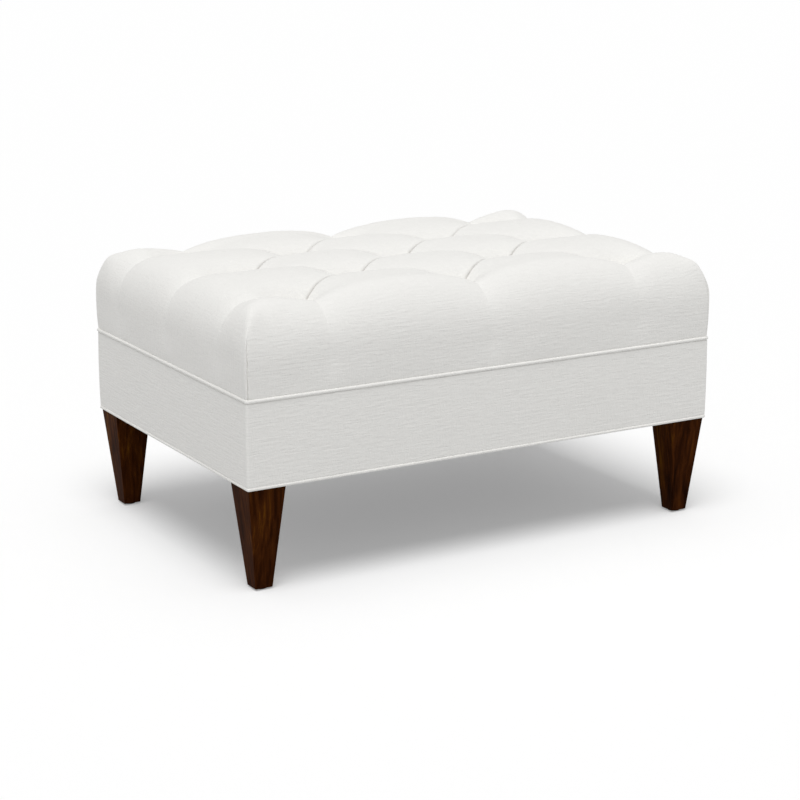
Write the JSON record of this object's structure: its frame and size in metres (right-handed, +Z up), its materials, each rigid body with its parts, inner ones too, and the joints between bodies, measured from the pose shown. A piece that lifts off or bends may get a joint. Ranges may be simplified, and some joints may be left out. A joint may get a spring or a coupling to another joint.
{
  "type": "tufted ottoman",
  "caption": "Rectangular upholstered ottoman with a diamond-tufted cushion top, a welted fabric band and four tapered dark wood legs.",
  "frame": {"origin": "on the floor, under the middle of the body", "axes": "+X along the long side to the right, -Y towards the front, +Z up"},
  "size_m": [0.9168, 0.614, 0.4835],
  "materials": {
    "linen_cloth": "matte woven",
    "dark_wood": "satin lacquer",
    "frame_wood": "raw",
    "zinc_steel": "satin",
    "glide_plastic": "matte",
    "filling": "soft",
    "dust_cloth": "matte nonwoven"
  },
  "bodies": {
    "root": {"leg_front_left": "dark_wood", "leg_front_right": "dark_wood", "leg_back_left": "dark_wood", "leg_back_right": "dark_wood", "glides": "glide_plastic", "hanger_bolts": "zinc_steel", "leg_inserts": "zinc_steel", "corner_post_front_left": "frame_wood", "corner_post_front_right": "frame_wood", "corner_post_back_left": "frame_wood", "corner_post_back_right": "frame_wood", "front_rail": "frame_wood", "back_rail": "frame_wood", "left_rail": "frame_wood", "right_rail": "frame_wood", "stretcher_left": "frame_wood", "stretcher_right": "frame_wood", "seat_deck": "frame_wood", "foam_core": "filling", "fibre_layer": "filling", "tuft_twines": "filling", "tufted_cover": "linen_cloth", "upper_welt": "linen_cloth", "lower_welt": "linen_cloth", "tack_strips": "filling", "band_cover": "linen_cloth", "band_padding": "filling", "dust_cover": "dust_cloth"}
  },
  "joints": []
}
